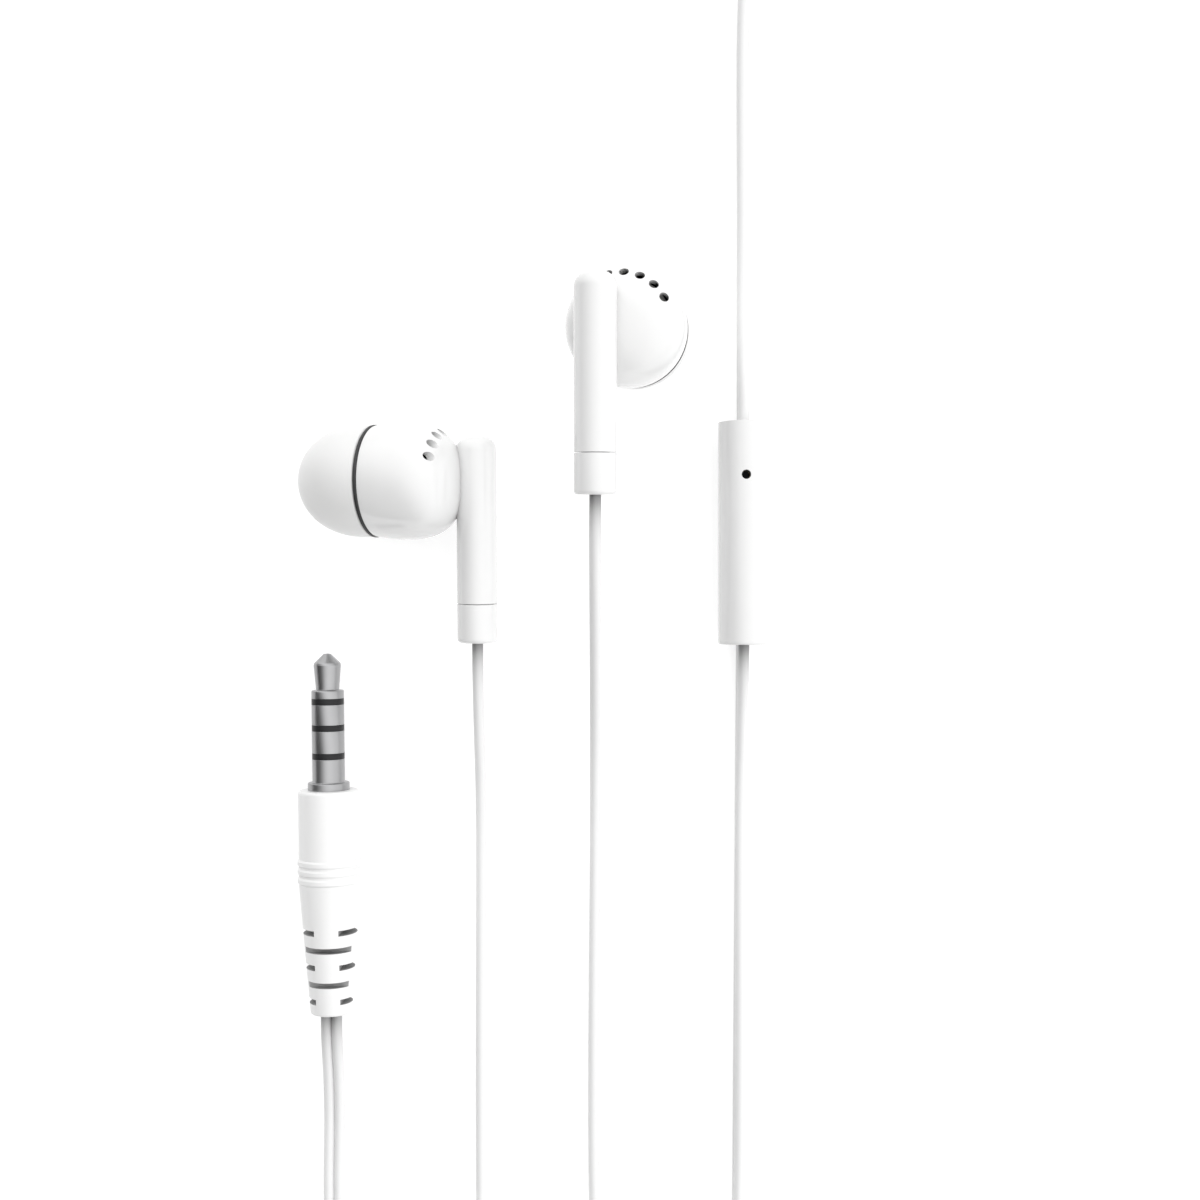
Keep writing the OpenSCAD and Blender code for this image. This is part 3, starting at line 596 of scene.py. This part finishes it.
def dome(thinner, steps=40):
    """Outline of the dome from its back pole to its mouth, this much thinner than the outside."""
    r, back = HOUSING_R - thinner, HOUSING_BACK + thinner
    angles = [math.radians(90 * i / steps) for i in range(steps + 1)]
    curve = [(r * math.sin(a) ** (2 / POWER) if a else 0.0,
              HOUSING_MID - (HOUSING_MID - back) * max(0.0, math.cos(a)) ** (2 / POWER))
             for a in angles]
    lip = [(r - LIP_DROP * (i / 8) ** 2, HOUSING_MID + (SHELL_FRONT - HOUSING_MID) * i / 8)
           for i in range(1, 9)]
    return curve + lip


wall_outside, wall_inside = dome(0), dome(WALL)
lip_r = wall_outside[-1][0]
wall_outside[-1:] = rounded([(*wall_outside[-2], 0), (lip_r, SHELL_FRONT, 0.14),
                             (lip_r - WALL, SHELL_FRONT, 0)])[1:-1]
for side, place in PLACES.items():
    shell = turned(side + "_housing", [[*wall_outside, *reversed(wall_inside)]], 144)
    fan = dict(VENTS, Material=white_shell)
    if side == "right":
        fan["First Angle"], fan["Angle Step"] = math.pi - fan["First Angle"], -fan["Angle Step"]
    grow(shell, vent_tree, fan)
    hand_over(put(shell, place, white_shell), "earphones", "white_shell", side + "_rear_shell")

# %% [markdown]
# ## Seal rings, stems and end caps
# A thin black ring sits between the housing and the front cover. The stem is a tube with a
# rounded top that is cut to the dome, and the end cap closes it; a narrow slit is left at the
# joint, and its shade is the fine line between them.

# %% Seal rings, stems and end caps
SEAL_R, SEAL_OUTER_R = 4.9, 6
STEM_R, STEM_TOP, STEM_ROUND, STEM_END, CAP_LEN, BORE_R = 2.15, 4.8, 1.55, 17.2, 4.2, 1.4
SEAM, SLIT, CORD_HOLE_R, SPIGOT = CAP_LEN - STEM_END, 0.06, 0.62, 1.3
seal_outline = rounded([(SEAL_R, SHELL_FRONT, 0), (SEAL_OUTER_R, SHELL_FRONT, 0.12),
                        (SEAL_OUTER_R, SEAL_FRONT, 0.12), (SEAL_R, SEAL_FRONT, 0)])
stem_outline = [(BORE_R, SEAM), (STEM_R - 0.05, SEAM), (STEM_R, SEAM + 0.05)]
stem_outline += [(STEM_R - STEM_ROUND + STEM_ROUND * math.cos(math.pi / 2 * i / 16),
                  STEM_TOP - STEM_ROUND + STEM_ROUND * math.sin(math.pi / 2 * i / 16))
                 for i in range(17)]
stem_outline += [(0, STEM_TOP), (0, STEM_TOP - BORE_R), (BORE_R, STEM_TOP - BORE_R)]
cap_outline = rounded([
    (CORD_HOLE_R, -STEM_END, 0.1), (STEM_R, -STEM_END, 0.5), (STEM_R, SEAM - SLIT, 0.05),
    (BORE_R - 0.02, SEAM - SLIT, 0), (BORE_R - 0.02, SEAM + SPIGOT, 0.1),
    (CORD_HOLE_R, SEAM + SPIGOT, 0)], steps=8)
for side, place in PLACES.items():
    ring = turned(side + "_black_ring", [seal_outline], 144)
    hand_over(put(ring, place, black_rubber), "earphones", "black_rubber", side + "_seal_ring")
    upright = shift_by(SIDES[side] * STEM_OFFSET, 0, 0) @ turn(-90, "X")
    stem = turned(side + "_stem_tube", [stem_outline])
    stem.data.transform(upright)
    carve(stem, turned("dome_cutter", [[*dome(0), (0, SHELL_FRONT)]], 144))
    hand_over(put(stem, place, white_shell), "earphones", "white_shell", side + "_stem")
    cap = turned(side + "_stem_cap", [cap_outline])
    hand_over(put(cap, place @ upright, white_shell), "earphones", "white_shell",
              side + "_end_cap")

# %% [markdown]
# ## Microphone pod
# Two half shells close round the microphone and its switch. Each half is cut from the same turned
# tube; its upper end is crisp and its lower end slightly rounded. The pin hole over the
# microphone goes right through the wall, so it is dark by itself.

# %% Microphone pod
POD_R, POD_LEN, POD_WALL, POD_CAP, MIC_Y, MIC_HOLE_R = 2.8, 24, 0.6, 0.8, 6.2, 0.5
BUTTON_Y, SLOT_HALF, SLOT_LEN = -4, 1.1, 7
pod_low, pod_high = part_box("pod_front_shell")
pod_place = Matrix.Translation(((pod_low.x + pod_high.x) / 2, (pod_low.y + pod_high.y) / 2,
                                pod_low.z))
half_len, core_r = POD_LEN / 2, POD_R - POD_WALL
pod_outline = rounded([
    (CORD_HOLE_R, -half_len, 0), (POD_R, -half_len, 0.05), (POD_R, half_len, 0.3),
    (CORD_HOLE_R, half_len, 0.08), (CORD_HOLE_R, half_len - POD_CAP, 0),
    (core_r, half_len - POD_CAP, 0), (core_r, POD_CAP - half_len, 0),
    (CORD_HOLE_R, POD_CAP - half_len, 0)])


def block(name, low, high):
    """A box between two corners, in millimetres, used as a cutter."""
    mesh = bpy.data.meshes.new(name)
    corners = [Vector((x, y, z)) * MM for z in (low[2], high[2]) for y in (low[1], high[1])
               for x in (low[0], high[0])]
    mesh.from_pydata(corners, [], [(0, 2, 3, 1), (4, 5, 7, 6), (0, 1, 5, 4), (2, 6, 7, 3),
                                   (0, 4, 6, 2), (1, 3, 7, 5)])
    return as_object(name, mesh)


def rod(radius, low, high, x=0.0, y=0.0):
    """A plain round cutter along Z."""
    cutter = turned("rod_cutter", [[(0, low), (radius, low), (radius, high), (0, high)]], 48)
    cutter.data.transform(shift_by(x, y, 0))
    return cutter


for name, low_z, high_z, solid in (("pod_top_half", 0, 5, "pod_front_shell"),
                                   ("pod_bottom_half", -5, 0, "pod_rear_shell")):
    half = turned(name, [pod_outline], 128)
    half.data.transform(turn(90, "X"))
    carve(half, block("half_cutter", (-5, -20, low_z), (5, 20, high_z)), "INTERSECT")
    if low_z == 0:
        carve(half, rod(MIC_HOLE_R, 1, 5, y=MIC_Y))
    else:
        run = SLOT_LEN / 2 - SLOT_HALF
        for y in (BUTTON_Y - run, BUTTON_Y + run):
            carve(half, rod(SLOT_HALF, -5, -1, y=y))
        carve(half, block("slot_cutter", (-SLOT_HALF, BUTTON_Y - run, -5),
                          (SLOT_HALF, BUTTON_Y + run, -1)))
    hand_over(put(half, pod_place, white_shell), "earphones", "white_shell", solid)

# %% [markdown]
# The microphone is a small metal can with a sound inlet. A disc of dark cloth over the inlet keeps
# lint out, and that cloth is what shows through the pin hole.

# %% Microphone can and its cloth
CAN_HALF, CAN_LOW, CAN_TOP, CLOTH_R = (1.2, 1.6), 0.3, 1.2, 0.48
can = block("microphone_can", (-CAN_HALF[0], MIC_Y - CAN_HALF[1], CAN_LOW),
            (CAN_HALF[0], MIC_Y + CAN_HALF[1], CAN_TOP))
edges = can.modifiers.new("edges", "BEVEL")
edges.width, edges.segments = 0.15 * MM, 3
hand_over(put(plain(can), pod_place, brass_can), "earphones", "brass_can", "mic_capsule")
cloth = turned("microphone_cloth", [rounded([(0, CAN_TOP, 0), (CLOTH_R, CAN_TOP, 0.03),
                                             (CLOTH_R, CAN_TOP + 0.1, 0.05),
                                             (0, CAN_TOP + 0.1, 0)])], 48)
cloth.data.transform(shift_by(0, MIC_Y, 0))
put(cloth, pod_place, dark_cloth)
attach(cloth, "earphones")

# %% [markdown]
# ## Plug
# The four contacts of a 3.5 mm plug are turned from plated brass and stacked on black
# insulators. The tip narrows to a waist behind its cone, where the socket's spring grips it.

# %% Plug contacts
JACK_R, JACK_LEN, SLEEVE_LEN, BAND_LEN, RING_2_LEN, RING_1_LEN, COLLAR_LEN = (
    1.75, 14, 2.55, 0.65, 2.4, 2.2, 0.9)
PLUG_TURN = 0.7
ring_2_z = SLEEVE_LEN + BAND_LEN
ring_1_z = ring_2_z + RING_2_LEN + BAND_LEN
collar_z = ring_1_z + RING_1_LEN + BAND_LEN
neck_z = collar_z + COLLAR_LEN
plug = mounts["plug"]
plug_start = Vector(plug["pos_m"]) - Vector(plug["axis"]) * plug["dims"]["length_mm"] / 2 * MM
plug_place = Matrix.Translation(plug_start) @ turn(PLUG_TURN, "Z") @ turn(-90, "X")


def tube_outline(inner, low, high, soft=0.05):
    """A contact or insulator: a tube from its inner radius to the plug's own."""
    return rounded([(inner, low, 0), (JACK_R, low, soft), (JACK_R, high, soft), (inner, high, 0)])


tip_outline = rounded([
    (0, -5.2, 0), (0.4, -5.2, 0), (0.4, collar_z, 0), (JACK_R, collar_z, 0.05),
    (JACK_R, neck_z, 0.18), (1.24, neck_z + 0.05, 0.06), (1.47, JACK_LEN - 1.3, 0.1),
    (1.42, JACK_LEN - 1.05, 0.12), (0.38, JACK_LEN - 0.05, 0.22), (0, JACK_LEN, 0)])
sleeve_outline = rounded([
    (1.4, -2.8, 0), (1.6, -2.8, 0), (1.6, -1.2, 0), (2.25, -1.2, 0), (2.25, 0, 0.12),
    (JACK_R, 0, 0.08), (JACK_R, SLEEVE_LEN, 0.05), (1.4, SLEEVE_LEN, 0)])
bands = [tube_outline(1.2, z - BAND_LEN, z, 0.02) for z in (ring_2_z, ring_1_z, collar_z)]
contacts = [("jack_tip", [tip_outline], "plug_tip"),
            ("jack_ring_1", [tube_outline(0.6, ring_1_z, ring_1_z + RING_1_LEN)], "plug_ring_1"),
            ("jack_ring_2", [tube_outline(1.05, ring_2_z, ring_2_z + RING_2_LEN)], "plug_ring_2"),
            ("jack_sleeve", [sleeve_outline], "plug_sleeve")]
plug_pieces = [hand_over(put(turned(name, outlines, 128), plug_place, nickel, 20),
                         "earphones", "nickel", solid) for name, outlines, solid in contacts]
plug_pieces.append(hand_over(put(turned("jack_bands", bands, 128), plug_place, black_plastic),
                             "earphones", "black_plastic", "plug_insulators"))

# %% [markdown]
# The moulding round the plug has three raised ribs for the fingers and a tapered strain relief.
# Slots cut from alternate sides let the relief bend with the cord. A node tree places a pair of
# cutters at each step, turned a quarter from the last, and takes them out of the turned body.
# The walls of the slots get a darker grey finish, which is painted shade for the deep recess, and a
# rougher, matt surface.

# %% Plug moulding
GRIP_R, GRIP_LEN, RELIEF_R, TAPER_Z = 3.3, 25, 2.23, -11.2
RIB_Z, RIB_PITCH, RIB_RISE = -8.6, 0.95, 0.15
CUTTER = (12, 6)  # width and depth of a slot's cutter, larger than the relief
SKIN, MARGIN = 0.12, 1  # a face deeper than SKIN, and MARGIN from the ends, is a slot's wall
slot_tree, given = new_tree("relief_slots", [
    ("Count", "NodeSocketInt", 5), ("First", "NodeSocketFloat", -15.95 * MM),
    ("Pitch", "NodeSocketFloat", 1.88 * MM), ("Width", "NodeSocketFloat", 0.6 * MM),
    ("Core", "NodeSocketFloat", 1.3 * MM), ("Material", "NodeSocketMaterial", None)])
points = node(slot_tree, "GeometryNodePoints", [("Count", given, "Count")])
index = node(slot_tree, "GeometryNodeInputIndex")
back = node(slot_tree, "ShaderNodeMath", [(0, given, "Pitch"), (1, -1.0, None)],
            operation="MULTIPLY")
height = node(slot_tree, "ShaderNodeMath",
              [(0, index, "Index"), (1, back, "Value"), (2, given, "First")],
              operation="MULTIPLY_ADD")
stand = node(slot_tree, "ShaderNodeCombineXYZ", [("Z", height, "Value")])
row = node(slot_tree, "GeometryNodeSetPosition",
           [("Geometry", points, "Points"), ("Position", stand, "Vector")])
size = node(slot_tree, "ShaderNodeCombineXYZ",
            [("X", CUTTER[0] * MM, None), ("Y", CUTTER[1] * MM, None), ("Z", given, "Width")])
cube = node(slot_tree, "GeometryNodeMeshCube", [("Size", size, "Vector")])
out = node(slot_tree, "ShaderNodeMath", [(0, given, "Core"), (1, CUTTER[1] / 2 * MM, None)],
           operation="ADD")
pair = node(slot_tree, "GeometryNodeJoinGeometry")
for sign in (1.0, -1.0):
    away = node(slot_tree, "ShaderNodeMath", [(0, out, "Value"), (1, sign, None)],
                operation="MULTIPLY")
    move = node(slot_tree, "ShaderNodeCombineXYZ", [("Y", away, "Value")])
    moved = node(slot_tree, "GeometryNodeTransform",
                 [("Geometry", cube, "Mesh"), ("Translation", move, "Vector")])
    slot_tree.links.new(moved.outputs["Geometry"], pair.inputs[0])
quarter = node(slot_tree, "ShaderNodeMath", [(0, index, "Index"), (1, math.pi / 2, None),
                                             (2, math.pi / 2, None)], operation="MULTIPLY_ADD")
spin = node(slot_tree, "ShaderNodeCombineXYZ", [("Z", quarter, "Value")])
cutters = node(slot_tree, "GeometryNodeInstanceOnPoints",
               [("Points", row, "Geometry"), ("Instance", pair, "Geometry"),
                ("Rotation", spin, "Vector")])
slotted = node(slot_tree, "GeometryNodeMeshBoolean", [(0, given, "Geometry")],
               operation="DIFFERENCE", solver="EXACT")
slot_tree.links.new(cutters.outputs["Instances"], slotted.inputs[1])
end_tree(slot_tree, given, slotted, "Mesh")

ribs = [(GRIP_R + rise, RIB_Z - i * RIB_PITCH + z, soft) for i in (2, 1, 0)
        for rise, z, soft in ((0, -0.38, 0.1), (RIB_RISE, -0.2, 0.08), (RIB_RISE, 0.2, 0.08),
                              (0, 0.38, 0.1))]
body_outline = rounded([
    (0, -GRIP_LEN, 0), (RELIEF_R, -GRIP_LEN, 0.25), (GRIP_R, TAPER_Z, 0.6), *ribs,
    (GRIP_R, -0.8, 0.4), (2.26, -0.8, 0), (2.26, -1.2, 0), (1.62, -1.2, 0), (1.62, -5.6, 0),
    (0, -5.6, 0)], steps=6)
moulding = turned("plug_body", [body_outline], 144)
grow(moulding, slot_tree, {"Material": white_moulding})
slope = (GRIP_R - RELIEF_R) / (TAPER_Z + GRIP_LEN)
deep = []
for face in moulding.data.polygons:
    x, y, z = face.center / MM
    surface_r = RELIEF_R + slope * (z + GRIP_LEN)
    deep.append(MARGIN - GRIP_LEN < z < TAPER_Z - MARGIN and math.hypot(x, y) < surface_r - SKIN)
put(moulding, plug_place, white_moulding)
# The deep slot walls take slot_shade, a darker grey that is painted shade.
moulding.data.materials.append(slot_shade)
for face, is_deep in zip(moulding.data.polygons, deep):
    face.material_index = int(is_deep)
plug_pieces.append(hand_over(moulding, "earphones", "white_moulding", "plug_moulding"))
plug_pieces.append(frame["nodes"]["plug_wires"])

# %% [markdown]
# ## Splitter and tie
# Where the two leads join the two-core lead, a small oval barrel holds them. A coated strap
# keeps the put-away turns together.

# %% Splitter and tie
low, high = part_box("cord_splitter")
barrel_len, barrel_r = (high.x - low.x) / MM, (high.z - low.z) / 2 / MM
GROOVES, GROOVE_PITCH, GROOVE_DIP, FIRST_GROOVE = 5, 0.9, 0.12, barrel_len * 0.34
grooves = [(barrel_r - dip, FIRST_GROOVE + i * GROOVE_PITCH + z, 0.06) for i in range(GROOVES)
           for dip, z in ((0, 0), (GROOVE_DIP, 0.1), (GROOVE_DIP, 0.35), (0, 0.45))]
barrel = turned("splitter_barrel", [rounded([
    (0, 0, 0), (barrel_r * 0.82, 0, 0.3), (barrel_r, barrel_len * 0.2, 1.5), *grooves,
    (barrel_r, barrel_len * 0.85, 1.2), (barrel_r * 0.86, barrel_len, 0.3), (0, barrel_len, 0)])])
flat = Matrix.Diagonal((1, (high.y - low.y) / (high.z - low.z), 1, 1))
barrel_place = Matrix.Translation((low.x, (low.y + high.y) / 2, (low.z + high.z) / 2))
put(barrel, barrel_place @ flat @ turn(90, "Y"), white_moulding)
hand_over(barrel, "earphones", "white_moulding", "cord_splitter")

STRAP_FROM, STRAP_TO, STRAP_TOP, STRAP_THICK, STRAP_WIDTH = 4.8, 18, 4, 0.35, 2.5
STRAP_ANGLE = 225
loop = [rounded([(STRAP_FROM + d, d, soft), (STRAP_TO - d, d, soft),
                 (STRAP_TO - d, STRAP_TOP - d, soft), (STRAP_FROM + d, STRAP_TOP - d, soft)])
        for d, soft in ((0, 0.7), (STRAP_THICK, 0.4))]
strap_mesh = bmesh.new()
rims = [[[strap_mesh.verts.new((x * MM, y * MM, z * MM)) for x, z in path] for path in loop]
        for y in (-STRAP_WIDTH / 2, STRAP_WIDTH / 2)]
around = len(loop[0])
for i in range(around):
    j = (i + 1) % around
    (a_out, a_in), (b_out, b_in) = rims
    for quad in ((a_out[i], a_out[j], b_out[j], b_out[i]), (a_in[j], a_in[i], b_in[i], b_in[j]),
                 (a_out[j], a_out[i], a_in[i], a_in[j]), (b_out[i], b_out[j], b_in[j], b_in[i])):
        strap_mesh.faces.new(quad)
bmesh.ops.recalc_face_normals(strap_mesh, faces=strap_mesh.faces)
mesh = bpy.data.meshes.new("cord_strap")
strap_mesh.to_mesh(mesh)
strap_mesh.free()
strap = as_object("cord_strap", mesh)
put(strap, shift_by(COIL_CENTRE.x, COIL_CENTRE.y, 0) @ turn(STRAP_ANGLE, "Z"), tie)
hand_over(strap, "earphones", "tie", "cord_tie")

# %% [markdown]
# ## Inner pieces
# The drivers, the nozzles' meshes, the circuit board with its switch, the button and the wires
# have the right shape already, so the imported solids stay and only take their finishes.

# %% Finishes of the pieces that stay
slots = {s["node"]: s["material_slot"] for s in frame["record"]["subparts"]}
for name, solid in frame["nodes"].items():
    if solid.hide_render:
        continue
    solid.data.materials.clear()
    solid.data.materials.append(FINISHES[slots[name]])
print("kept solids:", sum(not n.hide_render for n in frame["nodes"].values()))

# %% [markdown]
# ## Hand over the cords
# Each cord goes to the earphones' body, and the plain solids it stands for are hidden.

for piece, nodes in ((left_cord, ("left_cord", "left_coil")), (right_cord, ("right_cord",)),
                     (mic_cord, ("mic_cord",)), (twin_cord, ("twin_cord", "twin_coil"))):
    hand_over(piece, "earphones", "white_cord", *nodes)

# %% [markdown]
# ## Table and light
# White on white shows only by its shading. The table is a light table, a white panel lit from
# below, so nothing throws a shadow on it. A pale dome of light fills every side, and it is darker
# towards the left and the near side, so those flanks turn grey while the right ones melt into
# the table.

# %% Table and light
TABLE_HALF, TABLE_THICK, TABLE_GAP, TABLE_GLOW = 3000, 2, 0.02, 0.55
floor = block("table", (-TABLE_HALF, -TABLE_HALF, -TABLE_THICK),
              (TABLE_HALF, TABLE_HALF, -TABLE_GAP))
floor.data.materials.append(
    finish("table", (0.55, 0.55, 0.55), 0.6, vary=0.02, grain=40, bump=0, fleck=0,
           Emission_Color=(1, 1, 1, 1), Emission_Strength=TABLE_GLOW))

BRIGHT_SIDE = (0.72, 0.6, 0)  # towards the right and the far side
SKY_STRENGTH, BACKDROP_LEVEL = 1.92, 0.88
SKY_BANDS = [(0.0, 0.02), (0.2, 0.08), (0.42, 0.85), (0.62, 1.0), (0.8, 0.82), (1.0, 0.6)]
world = bpy.data.worlds.new("studio")
bpy.context.scene.world = world
world.use_nodes = True
sky, links = world.node_tree.nodes, world.node_tree.links
direction = sky.new("ShaderNodeTexCoord")
towards = sky.new("ShaderNodeVectorMath")
towards.operation = "DOT_PRODUCT"
towards.inputs[1].default_value = BRIGHT_SIDE
links.new(direction.outputs["Generated"], towards.inputs[0])
bands = sky.new("ShaderNodeValToRGB")
across_sky = sky.new("ShaderNodeMapRange")
across_sky.inputs["From Min"].default_value = -1
links.new(towards.outputs["Value"], across_sky.inputs["Value"])
links.new(across_sky.outputs["Result"], bands.inputs["Fac"])
stops = bands.color_ramp.elements
for i, (position, grey) in enumerate(SKY_BANDS):
    stop = stops[i] if i < 2 else stops.new(position)
    stop.position, stop.color = position, (grey, grey, grey, 1)
links.new(bands.outputs["Color"], sky["Background"].inputs["Color"])
sky["Background"].inputs["Strength"].default_value = SKY_STRENGTH

# Seen directly, above the table's edge, the sky is a plain pale backdrop.
backdrop = sky.new("ShaderNodeBackground")
backdrop.inputs["Color"].default_value = (*[BACKDROP_LEVEL] * 3, 1)
chosen = sky.new("ShaderNodeMixShader")
seen = sky.new("ShaderNodeLightPath")
links.new(seen.outputs["Is Camera Ray"], chosen.inputs["Fac"])
links.new(sky["Background"].outputs["Background"], chosen.inputs[1])
links.new(backdrop.outputs["Background"], chosen.inputs[2])
links.new(chosen.outputs["Shader"], sky["World Output"].inputs["Surface"])

bpy.context.scene.view_settings.view_transform = "Standard"
